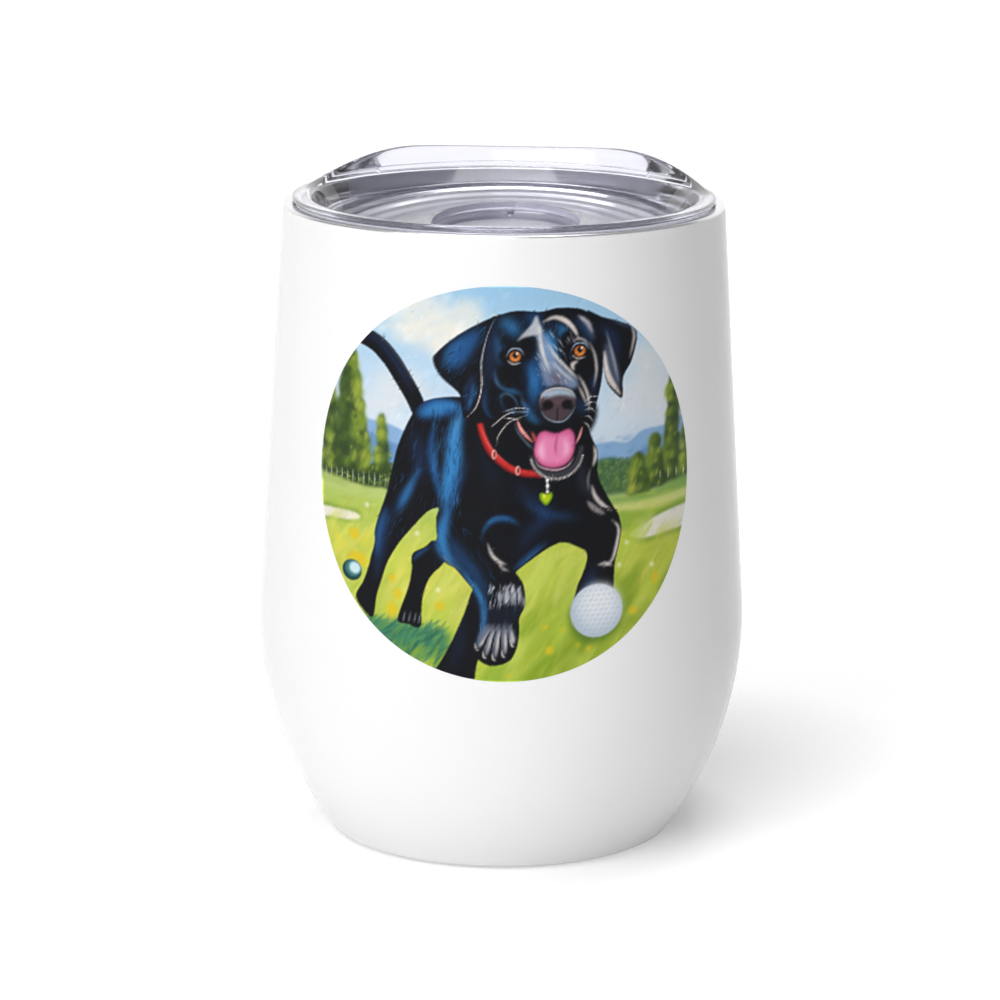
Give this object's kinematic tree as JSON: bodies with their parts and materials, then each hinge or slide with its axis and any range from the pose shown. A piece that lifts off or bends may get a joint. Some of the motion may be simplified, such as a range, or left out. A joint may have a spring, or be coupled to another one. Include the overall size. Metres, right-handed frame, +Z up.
{
  "type": "stemless insulated wine tumbler with lid",
  "caption": "White egg-shaped double-wall steel tumbler with a round dog-and-golf picture on its front and a clear press-in lid with a raised back edge.",
  "frame": {"origin": "centre of the foot on the surface it stands on", "axes": "+Z up along the tumbler's axis; -Y is the front, with the picture; the lid's drinking slot is 4 degrees off -Y, as the lid was pressed in; +X to the right seen from the front"},
  "size_m": [0.088, 0.088, 0.1211],
  "materials": {
    "white_coat": "smooth glossy white sublimation coating",
    "brushed_steel": "fine brushed stainless steel",
    "solder_glass": "dark solder glass bead",
    "getter_metal": "sintered grey metal",
    "clear_plastic": "clear polished plastic with a faint lavender tint",
    "clear_silicone": "translucent satin silicone"
  },
  "bodies": {
    "cup": {"outer_shell": "white_coat", "inner_liner": "brushed_steel", "base_disc": "brushed_steel", "port_seal": "solder_glass", "getter_cup": "brushed_steel", "getter_pellet": "getter_metal"},
    "lid": {"lid_body": "clear_plastic", "lid_gasket": "clear_silicone"}
  },
  "joints": [
    {"name": "lid_lift", "type": "slide", "parent": "cup", "child": "lid", "axis": [0, 0, 1], "range_m": [0, 0.06]}
  ]
}
